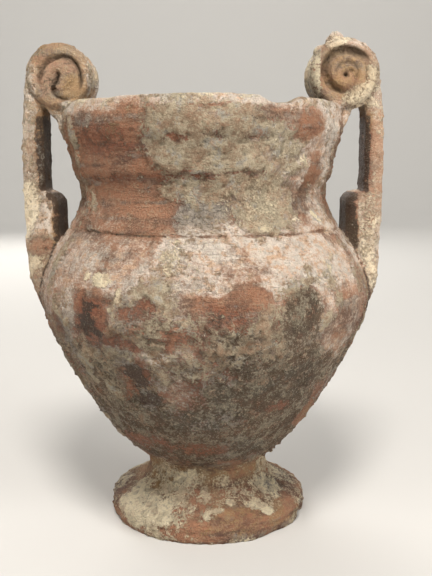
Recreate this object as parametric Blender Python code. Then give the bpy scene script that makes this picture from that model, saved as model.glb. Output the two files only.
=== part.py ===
"""A small two-handled terracotta vase of the volute-krater shape, thrown and fired as one piece.

Metres, +Z up.  The origin is on the vase's axis, on the plane that the foot stands on.  The two
handles stand along X, and the side with the chipped lip faces -Y.  The vase is hollow and open:
a mouth and neck over a round belly, a foot that is hollow underneath, and two strap handles that
rise from horseshoe-shaped lugs on the shoulder and roll over into volutes on the lip.
"""
import math

import bmesh
import bpy
from mathutils import Vector, noise

MM = 0.001
MERGE_DISTANCE = 0.01 * MM
LATHE_SEGMENTS = 48

# Driving heights and radii of the thrown body, in millimetres.
LIP_TOP = 164.0
LIP_RADIUS = 53.4
NECK_BASE = 117.0
NECK_BASE_RADIUS = 52.9
NECK_RADIUS = 47.5
BELLY_HEIGHT = 90.6
BELLY_RADIUS = 64.5
STEM_HEIGHT = 19.8
STEM_RADIUS = 23.6
FOOT_RADIUS = 39.6
RING_INNER_RADIUS = 31.0
FLOOR_TOP = 26.3
FLOOR_BOTTOM = 14.0
WALL = 5.4

# Outer side, from the lip down to the resting plane: (radius, height) in millimetres.
NECK_KNOTS = [
    (LIP_RADIUS - 0.3, LIP_TOP - 1.2),
    (LIP_RADIUS + 0.5, 158.5),
    (LIP_RADIUS + 0.8, 153.6),
    (LIP_RADIUS - 0.1, 151.2),
    (LIP_RADIUS - 1.4, 148.2),
    (51.1, 143.5),
    (50.3, 137.9),
    (48.5, 135.3),
    (NECK_RADIUS, 131.6),
    (NECK_RADIUS + 0.2, 127.4),
    (49.6, 122.7),
    (NECK_BASE_RADIUS - 0.3, NECK_BASE + 0.4),
]
NECK_GROOVE = [(NECK_BASE_RADIUS - 0.7, NECK_BASE - 0.6), (NECK_BASE_RADIUS + 0.6, NECK_BASE - 1.4)]
SHOULDER_KNOTS = [(57.9, 109.2), (62.3, 100.0), (BELLY_RADIUS, BELLY_HEIGHT), (62.2, 79.6)]
BELLY_KNOTS = [(55.9, 67.0), (47.8, 51.8), (38.1, 37.4), (27.9, 27.0)]
STEM_TOP = [(23.8, 24.0)]
FOOT_DOME = [(STEM_RADIUS, STEM_HEIGHT), (25.0, 15.8), (29.6, 12.1), (34.8, 9.5), (38.2, 7.9)]
FOOT_BAND = [(FOOT_RADIUS, 6.2), (39.4, 5.3), (38.8, 4.7), (39.4, 3.9), (FOOT_RADIUS, 2.2)]
UNDERSIDE = [(39.0, 0.0), (RING_INNER_RADIUS, 0.0), (29.4, 1.6), (21.0, 8.6), (12.0, 12.8)]

# Inner side, from the floor up to the lip.
INNER_KNOTS = [
    (13.0, 28.0),
    (27.5, 34.6),
    (41.5, 50.2),
    (53.4, 70.0),
    (BELLY_RADIUS - WALL, BELLY_HEIGHT),
    (56.6, 101.5),
    (50.0, 111.6),
    (44.2, 121.0),
    (NECK_RADIUS - WALL, 130.0),
    (45.0, 138.4),
    (47.9, 151.0),
    (48.4, LIP_TOP - 1.6),
    (49.6, LIP_TOP),
    (51.8, LIP_TOP),
]

# The thrown axis wanders a little: (height, sideways offset along X), in millimetres.
AXIS_DRIFT = [(0.0, 1.3), (14.0, 1.3), (30.0, 0.4), (60.0, 0.1), (95.0, 0.0), (125.0, -0.4), (164.0, -0.6)]

# Straps: outer face (height, distance from the axis), then the half width (height, half width).
STRAP_OUTER = [
    (77.0, 58.2),
    (82.0, 61.9),
    (86.0, 64.5),
    (90.0, 66.4),
    (95.0, 67.8),
    (103.0, 68.6),
    (121.0, 69.5),
    (143.0, 70.0),
    (160.0, 69.2),
    (174.0, 67.0),
]
STRAP_HALF_WIDTH = [
    (77.0, 9.0),
    (88.0, 11.4),
    (100.0, 10.8),
    (122.0, 9.2),
    (145.0, 8.6),
    (162.0, 9.6),
    (174.0, 11.0),
]
STRAP_INNER = 62.0
STRAP_CHANNEL = 1.1
STRAP_SECTIONS = 12
VOLUTE_HALF_WIDTH = 12.0
VOLUTE_SEGMENTS = 26
GROOVE_STEPS = 22

# Direction round the volute, from the strap's side over the top, and the groove's distance from
# the centre as a share of the volute's radius.
GROOVE_PATH = [(-20.0, 0.585), (90.0, 0.555), (180.0, 0.50), (270.0, 0.45), (340.0, 0.27), (410.0, 0.10)]

LEFT = {
    "side": -1.0,
    "volute": (55.2, 173.9),
    "volute_radius": 12.8,
    "groove_radius": 0.95,
    "groove_scale": 1.0,
    "strap_push": 0.5,
    "lug_inner": (56.9, 56.3),
    "web_reach": 61.6,
    "web_foot": 146.0,
}
RIGHT = {
    "side": 1.0,
    "volute": (53.4, 175.1),
    "volute_radius": 13.5,
    "groove_radius": 1.45,
    "groove_scale": 1.06,
    "strap_push": -0.4,
    "lug_inner": (57.4, 54.6),
    "web_reach": 58.8,
    "web_foot": 151.0,
}
LUG_TOP = 131.0
# The lug's half width at its top, and how much wider it grows for each millimetre below that.
LUG_HALF_WIDTH = 9.6
LUG_SPLAY = 0.085
WEB_HALF_WIDTH = 9.5
WEB_EDGE = 1.5
WEB_PINCH = 0.9

# Lumps stuck to the right volute: name, centre, half sizes, heading about Z, seed.
LUMPS = [
    ("lump", (51.8, 4.4, 187.9), (4.0, 5.0, 5.2), -8.0, 4.0),
    ("smaller_lump", (46.8, 6.0, 184.6), (3.8, 4.0, 3.4), 20.0, 7.0),
]

# Breaks in the lip and the foot: name, azimuth, distance from the axis, height, half sizes, seed.
# Each cutter points along its own azimuth.
CHIPS = [
    ("lip_chip", 32.0, 52.0, 166.2, (10.4, 9.0, 5.4), 1.0),
    ("foot_nick", -67.0, 41.6, -0.4, (7.6, 3.4, 4.0), 2.0),
    ("foot_flake", 42.0, 43.2, 0.0, (15.5, 5.2, 5.6), 3.0),
    ("foot_break", 72.0, 42.6, -0.6, (6.4, 6.4, 6.8), 5.0),
]


def clear_scene():
    for item in list(bpy.data.objects):
        bpy.data.objects.remove(item, do_unlink=True)


def terracotta():
    material = bpy.data.materials.new("terracotta")
    material.use_nodes = True
    shader = material.node_tree.nodes["Principled BSDF"]
    shader.inputs["Base Color"].default_value = (0.42, 0.25, 0.16, 1.0)
    shader.inputs["Roughness"].default_value = 0.85
    shader.inputs["Metallic"].default_value = 0.0
    return material


def read_curve(knots, at):
    """Straight-line reading of a list of (position, value) knots."""
    if at <= knots[0][0]:
        return knots[0][1]
    for (start, low), (end, high) in zip(knots, knots[1:]):
        if at <= end:
            return low + (high - low) * (at - start) / (end - start)
    return knots[-1][1]


def curve_through(knots, steps):
    """Catmull-Rom points through the knots, with the given steps between neighbours."""
    padded = [knots[0]] + list(knots) + [knots[-1]]
    points = []
    for a, b, c, d in zip(padded, padded[1:], padded[2:], padded[3:]):
        for step in range(steps):
            t = step / steps
            points.append(
                tuple(
                    0.5
                    * (
                        2 * q
                        + (r - p) * t
                        + (2 * p - 5 * q + 4 * r - s) * t**2
                        + (3 * q - p - 3 * r + s) * t**3
                    )
                    for p, q, r, s in zip(a, b, c, d)
                )
            )
    points.append(tuple(knots[-1]))
    return points


def drift(height):
    """Sideways offset of the thrown axis, in millimetres, at a height in millimetres."""
    return read_curve(AXIS_DRIFT, height)


def new_object(name, bm):
    bmesh.ops.recalc_face_normals(bm, faces=bm.faces)
    mesh = bpy.data.meshes.new(name)
    bm.to_mesh(mesh)
    bm.free()
    item = bpy.data.objects.new(name, mesh)
    bpy.context.scene.collection.objects.link(item)
    return item


def body_profile():
    """The closed lathe profile, from the floor's centre up the inside and down the outside."""
    inner = [(0.0, FLOOR_TOP)] + INNER_KNOTS
    belly = curve_through([NECK_GROOVE[-1]] + SHOULDER_KNOTS + BELLY_KNOTS + STEM_TOP, 2)
    outer = NECK_KNOTS + NECK_GROOVE[:1] + belly + FOOT_DOME + FOOT_BAND
    return inner + outer + UNDERSIDE + [(0.0, FLOOR_BOTTOM)]


def lathe_body():
    bm = bmesh.new()
    verts = [bm.verts.new((radius * MM, 0.0, height * MM)) for radius, height in body_profile()]
    edges = [bm.edges.new(pair) for pair in zip(verts, verts[1:])]
    bmesh.ops.spin(
        bm,
        geom=verts + edges,
        cent=(0.0, 0.0, 0.0),
        axis=(0.0, 0.0, 1.0),
        angle=2.0 * math.pi,
        steps=LATHE_SEGMENTS,
        use_merge=True,
    )
    bmesh.ops.remove_doubles(bm, verts=bm.verts, dist=MERGE_DISTANCE)
    for vert in bm.verts:
        vert.co.x += drift(vert.co.z / MM) * MM
    return new_object("vase", bm)


def loft(name, rings):
    """A closed body through rings of equal length, capped at both ends."""
    bm = bmesh.new()
    loops = []
    for ring in rings:
        verts = [bm.verts.new(point) for point in ring]
        loops.append([bm.edges.new(pair) for pair in zip(verts, verts[1:] + verts[:1])])
    for lower, upper in zip(loops, loops[1:]):
        bmesh.ops.bridge_loops(bm, edges=lower + upper)
    for end in (loops[0], loops[-1]):
        bmesh.ops.contextual_create(bm, geom=end)
    return new_object(name, bm)


def strap(handle):
    """The flanged strap, thinnest at half height, from inside the shoulder to inside the volute."""
    low = STRAP_OUTER[0][0]
    high = STRAP_OUTER[-1][0]
    rings = []
    for section in range(STRAP_SECTIONS):
        height = low + (high - low) * section / (STRAP_SECTIONS - 1)
        outer = read_curve(STRAP_OUTER, height) + handle["strap_push"] * min(1.0, (height - low) / 30.0)
        inner = min(STRAP_INNER, outer - 3.0)
        half = read_curve(STRAP_HALF_WIDTH, height)
        edge = 0.28 * (outer - inner)
        ring = [
            (outer - edge, -1.0),
            (outer, -0.84),
            (outer, -0.62),
            (outer - STRAP_CHANNEL, -0.38),
            (outer - STRAP_CHANNEL, 0.38),
            (outer, 0.62),
            (outer, 0.84),
            (outer - edge, 1.0),
            (inner + edge, 1.0),
            (inner, 0.8),
            (inner, -0.8),
            (inner + edge, -1.0),
        ]
        rings.append([(handle["side"] * u * MM, v * half * MM, height * MM) for u, v in ring])
    return loft("strap", rings)


def volute(handle):
    """The rolled end of the strap: a short cylinder along Y with a raised flange at each edge."""
    centre_u, centre_z = handle["volute"]
    radius = handle["volute_radius"]
    half = VOLUTE_HALF_WIDTH
    face = [(0.0, half + 0.3), (radius - 4.4, half), (radius - 1.8, half - 0.4), (radius - 0.4, half - 1.6)]
    rim = [(radius, half - 3.2), (radius - 0.2, half - 4.8), (radius - 1.3, half - 6.0)]
    near = face + rim
    profile = [(r, -y) for r, y in near] + [(r, y) for r, y in reversed(near)]
    bm = bmesh.new()
    centre = Vector((handle["side"] * centre_u * MM, 0.0, centre_z * MM))
    verts = [bm.verts.new(centre + Vector((r * MM, y * MM, 0.0))) for r, y in profile]
    edges = [bm.edges.new(pair) for pair in zip(verts, verts[1:])]
    bmesh.ops.spin(
        bm,
        geom=verts + edges,
        cent=centre,
        axis=(0.0, 1.0, 0.0),
        angle=2.0 * math.pi,
        steps=VOLUTE_SEGMENTS,
        use_merge=True,
    )
    bmesh.ops.remove_doubles(bm, verts=bm.verts, dist=MERGE_DISTANCE)
    return new_object("volute", bm)


def lug(handle):
    """The horseshoe-shaped root of the handle: two legs on the shoulder with a thinner web between."""
    leg_inner, web_inner = handle["lug_inner"]
    stations = [(-1.0, 1.6, 1.8), (-0.84, 0.0, 0.3), (-0.45, 0.6, 0.0), (0.0, 0.8, 0.0)]
    stations += [(-y, inset, drop) for y, inset, drop in reversed(stations[:-1])]
    rings = []
    for y, inset, drop in stations:
        inner = (leg_inner if y < -0.5 else web_inner) + inset
        top = LUG_TOP - drop
        outline = [
            (60.8, 84.0),
            (64.8, 91.0),
            (66.2, 100.0),
            (66.4, top - 3.0),
            (inner + 4.6, top),
            (inner + 1.9, top - 0.8),
            (inner, top - 3.6),
            (inner, 113.0),
            (inner + 0.4, 106.0),
            (inner + 1.4, 92.0),
        ]
        rings.append(
            [
                (handle["side"] * u * MM, y * (LUG_HALF_WIDTH + LUG_SPLAY * (LUG_TOP - z)) * MM, z * MM)
                for u, z in outline
            ]
        )
    return loft("lug", rings)


def lip_web(handle):
    """The fillet of clay that fixes the volute's underside to the lip and the neck."""
    reach = handle["web_reach"]
    foot = handle["web_foot"]
    outline = [
        (50.5, foot - 1.0),
        (51.5, foot),
        (55.0, foot + 6.5),
        (56.9, foot + 12.0),
        (reach, 163.6),
        (reach + 1.5, 167.0),
        (reach - 2.0, 171.0),
        (51.0, 171.0),
    ]
    flat = WEB_HALF_WIDTH - WEB_EDGE
    rings = []
    for y, pinch in ((-WEB_HALF_WIDTH, WEB_PINCH), (-flat, 0.0), (flat, 0.0), (WEB_HALF_WIDTH, WEB_PINCH)):
        rings.append([(handle["side"] * (u - pinch) * MM, y * MM, z * MM) for u, z in outline])
    return loft("lip_web", rings)


def rough_lump(name, centre, size, turn, seed, roughness=0.16):
    """A stretched ball with an uneven surface; turn is its heading about Z, in degrees."""
    bm = bmesh.new()
    bmesh.ops.create_icosphere(bm, subdivisions=2, radius=1.0)
    heading = math.radians(turn)
    for vert in bm.verts:
        swell = 1.0 + roughness * noise.noise(vert.co * 2.3 + Vector((seed, 0.0, 0.0)))
        along, across, up = (vert.co[i] * size[i] * swell for i in range(3))
        vert.co = (
            (centre[0] + along * math.cos(heading) - across * math.sin(heading)) * MM,
            (centre[1] + along * math.sin(heading) + across * math.cos(heading)) * MM,
            (centre[2] + up) * MM,
        )
    return new_object(name, bm)


def around(azimuth, radius, height):
    """A point by its azimuth in degrees from -Y towards +X, in millimetres."""
    angle = math.radians(azimuth)
    return (radius * math.sin(angle) + drift(height), -radius * math.cos(angle), height)


def groove_cutter(handle, facing):
    """A tube along the volute's spiral, half sunk in the face that looks along -Y or +Y."""
    centre_u, centre_z = handle["volute"]
    first = GROOVE_PATH[0][0]
    last = GROOVE_PATH[-1][0]
    thick = handle["groove_radius"]
    rings = []
    for step in range(GROOVE_STEPS + 1):
        turned = first + (last - first) * step / GROOVE_STEPS
        angle = math.radians(turned)
        distance = read_curve(GROOVE_PATH, turned) * handle["volute_radius"] * handle["groove_scale"]
        outward = Vector((math.cos(angle), 0.0, math.sin(angle)))
        ring = []
        for corner in range(6):
            swing = math.pi * (corner + 0.5) / 3.0
            depth = thick * 1.25 * math.sin(swing)
            u = centre_u + outward.x * (distance + thick * math.cos(swing))
            z = centre_z + outward.z * (distance + thick * math.cos(swing))
            y = facing * (VOLUTE_HALF_WIDTH + 0.2 + depth)
            ring.append((handle["side"] * u * MM, y * MM, z * MM))
        rings.append(ring)
    return loft("groove", rings)


def clay_additions():
    """Everything luted on to the thrown body before firing, and the lump stuck to one volute."""
    parts = []
    for handle in (LEFT, RIGHT):
        parts += [strap(handle), volute(handle), lug(handle), lip_web(handle)]
    parts += [rough_lump(*lump) for lump in LUMPS]
    return parts


def losses():
    """The volutes' grooves and the pieces broken out of the lip and the foot."""
    cutters = [groove_cutter(handle, facing) for handle in (LEFT, RIGHT) for facing in (-1.0, 1.0)]
    for name, azimuth, radius, height, size, seed in CHIPS:
        cutters.append(rough_lump(name, around(azimuth, radius, height), size, azimuth, seed))
    return cutters


def apply_all(target, others, operation):
    """Adds or cuts each shape with its own exact Boolean, and keeps the shapes as wire guides."""
    for other in others:
        other.hide_render = True
        other.display_type = "WIRE"
        boolean = target.modifiers.new(f"{operation.lower()} {other.name}", "BOOLEAN")
        boolean.operation = operation
        boolean.solver = "EXACT"
        boolean.object = other


def main():
    clear_scene()
    vase = lathe_body()
    vase.data.materials.append(terracotta())
    apply_all(vase, clay_additions(), "UNION")
    apply_all(vase, losses(), "DIFFERENCE")
    vase.data.shade_smooth()
    vase.data.set_sharp_from_angle(angle=math.radians(40.0))


main()
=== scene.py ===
import math

import bmesh
import bpy
import numpy as np
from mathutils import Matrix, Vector


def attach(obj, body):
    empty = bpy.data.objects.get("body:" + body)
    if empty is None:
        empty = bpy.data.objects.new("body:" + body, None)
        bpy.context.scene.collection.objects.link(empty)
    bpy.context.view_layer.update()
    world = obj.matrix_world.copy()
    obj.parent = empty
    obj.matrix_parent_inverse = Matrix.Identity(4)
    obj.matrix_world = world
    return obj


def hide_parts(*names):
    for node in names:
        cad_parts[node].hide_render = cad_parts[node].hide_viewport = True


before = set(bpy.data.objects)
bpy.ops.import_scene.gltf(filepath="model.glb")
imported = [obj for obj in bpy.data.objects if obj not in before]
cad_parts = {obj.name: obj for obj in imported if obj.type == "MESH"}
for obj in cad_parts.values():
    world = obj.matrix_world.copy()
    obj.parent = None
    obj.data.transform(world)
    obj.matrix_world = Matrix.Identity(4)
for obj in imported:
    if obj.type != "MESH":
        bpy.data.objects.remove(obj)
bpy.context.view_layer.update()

# A small volute-handled vase, fired in one piece, buried for a long time and only partly cleaned.
# Lengths are millimetres unless a name says otherwise. Azimuths are degrees from -Y towards +X.
MM = 0.001
VOXEL = 0.62
LATHE_FACETS = 48
TRIANGLES = 192000
LIP_TOP = 164.0
NECK_BASE = 117.0
FLOOR_BOTTOM = 14.5
HANDLE_START = 44.0
HANDLE_HALF_DEPTH = 16.5

# The outer wall: (height, distance from the axis).
OUTER_WALL = [
    (0, 39.6), (6, 39.6), (10, 34), (16, 25.5), (20, 23.6), (24, 24), (30, 30.5), (37, 38), (52, 48),
    (67, 56), (80, 62.3), (91, 64.5), (100, 62.3), (109, 58), (117, 52.8), (123, 49.6), (129, 47.6),
    (135, 48.5), (143, 51), (151, 53.3), (164, 53.2), (200, 53.2),
]
# The thrown axis wanders along X: (height, sideways offset).
AXIS_DRIFT = [(0, 1.3), (14, 1.3), (30, 0.4), (60, 0.1), (95, 0.0), (125, -0.4), (164, -0.6)]

# The share of the surface that each finish covers all round: (height, share covered).
GENERAL = {
    "crust": [
        (0, 0.06), (20, 0.06), (28, 0.1), (45, 0.15), (62, 0.3), (86, 0.42), (102, 0.35), (118, 0.3),
        (164, 0.35),
    ],
    "bloom": [
        (0, 0.06), (18, 0.08), (24, 0.08), (30, 0.08), (60, 0.12), (84, 0.22), (97, 0.5), (112, 0.62),
        (118, 0.3), (126, 0.15), (158, 0.2), (163, 0.8),
    ],
    "grey": [(0, 0.04), (22, 0.06), (30, 0.35), (60, 0.4), (90, 0.25), (115, 0.18), (164, 0.12)],
    "olive": [
        (0, 0.05), (22, 0.1), (30, 0.5), (50, 0.6), (70, 0.5), (88, 0.3), (100, 0.06), (164, 0.04),
    ],
    "red": [
        (0, 0.1), (30, 0.3), (50, 0.42), (78, 0.45), (96, 0.35), (108, 0.1), (120, 0.15), (150, 0.22),
        (164, 0.1),
    ],
    "black": [(0, 0.02), (40, 0.1), (70, 0.14), (90, 0.05), (164, 0.03)],
    "ochre": [(0, 0.34), (22, 0.52), (30, 0.1), (100, 0.08), (118, 0.15), (164, 0.08)],
    "cream": [
        (0, 0.42), (16, 0.46), (23, 0.26), (29, 0.08), (60, 0.03), (100, 0.05), (115, 0.08),
        (158, 0.05), (164, 0.45),
    ],
}
# The same on the handles, and on the inner faces of the straps, whose dark shares are partly dirt and partly
# painted shade.
ON_HANDLES = {"crust": 0.22, "bloom": 0.50, "grey": 0.12, "olive": 0.05, "red": 0.20, "black": 0.03,
              "ochre": 0.45, "cream": 0.30}
DIRT_AND_SHADE_UNDER_STRAPS = {"black": 0.72, "red": 0.75, "cream": 0.03, "bloom": 0.05, "crust": 0.10}

# Patches with a share of their own: azimuth, height, half width, half height, tilt, share covered. A later
# patch goes over an earlier one, and all fade out towards the back, between the two azimuths.
PATCHES_FADE = (62.0, 78.0)
PATCHES = {
    "crust": [
        (-40, 141, 22, 25, 0, 0.0), (40, 108, 26, 8, 0, 0.08), (-38, 108, 20, 10, 0, 0.0),
        (48, 120, 10, 6, 0, 0.2), (44, 155, 12, 6, 0, 0.0), (53, 135, 7, 14, 0, 0.1),
        (-8, 157.5, 12, 6, 0, 0.95), (-11, 147, 9, 10, 0, 1.0), (-4, 146, 12, 9, 0, 0.95),
        (5, 156.5, 15, 6, 0, 0.95), (12, 146, 15, 10, 0, 0.95), (-7, 135, 9, 6, 20, 0.9),
        (9, 132, 14, 9, 0, 0.95), (27, 146, 13, 12, 0, 0.78), (26, 126.5, 15, 9, 0, 0.92),
        (3, 122, 8, 6, 0, 0.35), (-18, 97, 10, 5, 10, 0.85), (-11, 86, 13, 5, 0, 0.52),
        (-24, 90, 5, 5, 0, 0.5), (4, 107, 8, 6, 0, 0.25), (-38, 88, 8, 8, 0, 0.05),
        (-12, 111, 4, 7, 0, 0.35), (12, 98, 13, 5, 0, 0.12), (18, 104, 8, 5, 0, 0.2),
        (52, 87, 12, 12, 0, 0.08), (34, 88, 9, 9, 0, 0.12), (10, 80, 12, 6, 0, 0.5),
        (-9, 60, 9, 6, 0, 0.12), (-32, 10, 14, 7, 0, 0.3),
    ],
    "bloom": [
        (-36, 140, 26, 22, 0, 0.03), (-36, 123, 18, 5, 0, 0.46), (-44, 160, 12, 3, 0, 0.4),
        (36, 109, 24, 8, -12, 0.97), (0, 111, 10, 7, 0, 0.88), (-16, 103, 11, 5, 0, 0.85),
        (-12, 111, 4, 7, 0, 1.0), (20, 103, 9, 5, 0, 0.85), (-36, 108, 20, 9, 0, 0.5),
        (32, 144, 15, 12, 0, 0.7), (44, 126, 11, 9, 0, 0.6), (3, 103, 13, 6, 0, 0.8),
        (-23, 102, 18, 5, 0, 0.62), (63, 147, 13, 20, 0, 0.92), (60, 130, 7, 6, 0, 0.6),
        (60, 122, 8, 6, 0, 0.8), (44, 155, 8, 5, 0, 0.05), (54, 137, 5, 12, 0, 0.1),
        (52, 103, 8, 6, 0, 0.8), (-15, 76.5, 13, 4, 0, 0.65), (-45, 162, 12, 1.8, 0, 0.9),
        (-12, 64, 6, 7, 0, 0.5), (12, 96, 14, 4, 12, 0.12), (54, 88, 12, 14, 0, 0.95),
        (33, 91, 8, 8, 0, 0.03), (-36, 96, 10, 2.5, 0, 0.1), (-38, 88, 8, 7, 0, 0.02),
        (34, 101, 10, 3, 0, 0.8), (24, 101, 5, 3.5, 0, 0.9), (60, 40, 8, 14, 30, 0.05),
        (14, 105, 9, 6, 10, 0.42), (-30, 110, 9, 4, 0, 0.38),
    ],
    "grey": [
        (-36, 140, 26, 22, 0, 0.12), (-46, 156, 8, 3, 0, 0.75), (-45, 143, 7, 4, 0, 0.62),
        (-34, 129, 10, 2.4, 8, 0.45), (-48, 121, 8, 3, 0, 0.6), (68, 145, 7, 14, 0, 0.55),
        (-1, 121, 8, 7, 0, 0.9), (-1, 115, 9, 4, 0, 0.75), (-45, 156.5, 6, 2.5, 0, 0.6),
        (-42, 145.7, 8, 4, 0, 0.5), (-50, 124, 9, 6, 0, 0.4), (-36, 135.2, 18, 1.4, 0, 0.5),
        (-43, 109, 8, 6, 0, 0.55), (-32, 74, 7, 5, 0, 0.9), (-18, 65, 6, 8, 0, 0.75),
        (-25, 54.4, 3.6, 2.2, 0, 0.95), (-21, 132, 3.0, 2.6, 0, 0.75), (-9, 60, 9, 5, 0, 0.4),
        (-4, 50, 14, 3.5, 0, 0.7), (22, 36, 12, 5, 0, 0.7), (7, 61, 4.5, 7, 25, 0.7),
        (-24, 91, 6, 6, 0, 0.6), (61, 14, 7, 4, 0, 0.85), (12, 98, 14, 6, 0, 0.05),
        (52, 86, 12, 12, 0, 0.1), (36, 109, 22, 8, 0, 0.1), (44, 155, 8, 5, 0, 0.05),
        (-51, 80, 6, 14, 0, 0.8), (30, 145, 12, 9, 0, 0.45),
    ],
    "olive": [
        (33, 88, 9, 12, 8, 1.0), (40, 64, 18, 15, 0, 0.85), (38, 45, 22, 12, 0, 0.9),
        (-28, 50, 16, 9, 0, 0.8), (15, 78, 15, 9, 0, 0.8), (56, 70, 12, 10, 0, 0.8),
        (-12, 85, 12, 6, 0, 0.6), (8, 52, 14, 10, 0, 0.75), (-12, 72, 12, 8, 0, 0.6),
        (-38, 90, 9, 8, 0, 0.05), (53, 87, 10, 11, 0, 0.05), (64, 48, 6, 14, 30, 0.1),
        (12, 97, 14, 5, 0, 0.08), (-9, 60, 9, 6, 0, 0.48), (-36, 108, 16, 8, 0, 0.0),
    ],
    "red": [
        (-36, 128, 24, 10, 0, 0.12), (-38, 88.3, 9, 7, 0, 1.0), (-36, 84, 5, 4, 0, 1.0),
        (-33, 81, 4, 3, 0, 0.9), (-27, 81, 4.5, 3.2, 0, 0.95), (-20, 92.5, 4, 3, 0, 0.9),
        (3, 137.3, 22, 1.4, 0, 0.8), (-9, 149.6, 5, 2.4, 15, 0.75), (5, 151.2, 6, 1.6, 8, 0.6),
        (-40, 153, 14, 2.6, 6, 0.7), (-44, 146, 9, 2.0, 0, 0.5), (-30, 124, 12, 2.0, 0, 0.4),
        (-9, 82.3, 5, 3, 60, 0.75), (-21, 74, 5, 3.6, 0, 0.8), (-13, 60.5, 6, 4.5, -15, 0.7),
        (-3, 61.5, 7, 3, 10, 0.6), (-8, 56, 8, 2.2, 0, 0.6), (3, 65, 7, 3.5, 0, 0.85),
        (33, 54, 4.5, 2, 0, 0.9), (-37, 38.6, 10, 5.5, 0, 0.8), (-36, 148.5, 18, 2.2, 0, 0.75),
        (-34, 136, 18, 2.0, 0, 0.6), (6, 92.5, 8, 2.6, 0, 0.9), (10, 88, 9, 4, 0, 0.65),
        (3, 37, 9, 4.5, 0, 0.7), (-36, 95.5, 10, 2.2, 0, 0.6), (12, 97.5, 14, 4, 0, 0.35),
        (36, 109, 22, 8, 0, 0.02), (44, 155, 7, 4, 0, 0.3), (54, 88, 11, 13, 0, 0.1),
        (-36, 108, 18, 8, 0, 0.05), (-54, 86, 4, 14, 0, 0.6), (-50, 66, 4, 12, 30, 0.6),
    ],
    "black": [
        (-25.2, 69, 7, 2.6, -74, 0.85), (-21.2, 60.8, 6, 2.8, -55, 0.85), (-25, 57, 8, 2.4, -5, 0.8),
        (-21, 132, 2.2, 2.4, 0, 0.5), (-25, 133.7, 1.5, 1, 0, 0.7), (-40.8, 90.5, 0.8, 4, 0, 0.8),
        (33, 86, 7, 8, 0, 0.36), (8, 93, 9, 1.3, 10, 0.45), (3, 90, 6, 1.2, 10, 0.5),
        (-4, 57, 8, 2, 0, 0.4), (-36, 84.5, 4, 3, 0, 0.65), (-38, 92, 6, 2.2, 0, 0.7),
        (-40, 86, 4.5, 4.5, 0, 0.78), (-30, 79, 4, 3, 0, 0.5), (-15, 74, 5, 2.2, 0, 0.35),
        (-10, 38, 9, 4, 0, 0.25), (36, 46, 20, 10, 0, 0.2),
    ],
    "ochre": [
        (54, 88, 11, 12, 0, 0.12), (60, 119, 6, 3.5, 0, 0.8), (22, 112, 9, 3, 0, 0.6),
        (-56, 20, 10, 7, 0, 0.8), (64, 44, 6, 10, 30, 0.5), (-33, 156, 14, 3, 0, 0.25),
        (20, 124, 14, 6, 0, 0.25),
    ],
    "cream": [
        (-34, 11, 18, 8, 0, 0.98), (-68, 12, 14, 6, 0, 0.7), (-34, 4, 16, 3, 0, 0.75),
        (-12, 14, 8, 5, 0, 0.5), (10, 15, 14, 3.5, 0, 0.35), (36, 14, 14, 5, 0, 0.5),
        (-40, 17, 12, 4, 0, 0.6), (-50, 22, 10, 5, 0, 0.5), (54, 22, 9, 5, 0, 0.45),
        (28, 146, 13, 11, 0, 0.3), (24, 126, 14, 8, 0, 0.4), (47, 102, 9, 5, 0, 0.42),
        (-2, 103, 10, 5, 0, 0.25), (45, 124, 6, 7, 0, 0.35), (20, 6, 26, 5, 0, 0.06),
        (-12, 20.8, 1.6, 1.4, 0, 1.0), (17, 11.9, 1.6, 1, 0, 1.0), (37, 11.7, 2, 1.1, 0, 1.0),
        (39, 9.6, 2, 1, 0, 1.0), (57, 11, 2.6, 1, 0, 1.0), (-2, 14.5, 2.3, 1.2, 0, 1.0),
        (1, 10.2, 2.7, 1, 0, 0.95), (8, 10.4, 2.1, 0.9, 0, 0.9), (23, 119, 2.4, 1, 0, 1.0),
        (56, 122, 3.5, 1.1, -45, 0.95), (44, 143, 2.2, 1.2, 0, 0.85), (-26, 97, 1.6, 5, 0, 0.9),
        (-29, 92, 1.2, 1.0, 0, 1.0), (62, 13, 10, 3, 0, 0.5), (-36, 108, 16, 8, 0, 0.0),
        # Painted highlights: the three small cream flakes on the left shoulder, at heights 102.6 to 103.8,
        # stand for glossy spots of light.
        (-1, 114, 7, 3, 0, 0.3), (-33, 102.6, 3.4, 2.2, 20, 1.0), (-41, 102.6, 2.2, 1.6, 0, 1.0),
        (-36, 103.8, 1.8, 1.3, 0, 1.0), (-10, 111, 4, 6, 0, 0.5),
    ],
}

# Places rubbed or broken bare, where little lies on the clay: azimuth, height, half sizes, tilt, how bare.
BARE = [
    (-38, 88, 8.5, 7, 0, 0.9), (-35, 82, 5, 3, 0, 0.7), (-26, 81, 4.5, 3, 0, 0.8),
    (-24, 67, 5.5, 8, -15, 0.62), (-25, 60, 8, 4.5, 0, 0.45), (-13, 61, 6, 4, -15, 0.2),
    (-20, 92.5, 4, 3, 0, 0.8), (6, 96.6, 13, 3.8, -5, 0.9), (7, 90, 6, 3, 20, 0.65),
    (-36, 96, 10, 2.4, 0, 0.8), (54, 87, 11, 13, 0, 0.7), (43, 155, 8, 4.5, 0, 0.65),
    (-40, 140, 18, 20, 0, 0.75), (-24, 124, 14, 6, 0, 0.6), (-9, 149.6, 4, 2.2, 15, 0.55),
    (5, 151.2, 5, 1.6, 8, 0.42), (3, 137.3, 22, 1.3, 0, 0.5), (-4, 137.1, 4, 1.8, 0, 0.35),
    (3, 160.2, 8, 0.9, 0, 0.6), (20, 150, 5, 1.4, 10, 0.35), (30, 158, 14, 3, 0, 0.35),
    (53, 138, 4, 8, -10, 0.7), (48, 124, 4, 6, 0, 0.6), (-9, 82.3, 4, 2.5, 60, 0.6),
    (20, 4.5, 26, 4, 0, 0.8), (33, 54, 4, 1.8, 0, 0.7), (-37, 38, 10, 4, 0, 0.6),
    (-21, 132, 2.6, 2.6, 0, 0.5), (64, 46, 5, 12, 30, 0.7), (0, 37, 9, 3.5, 0, 0.6),
]
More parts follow.
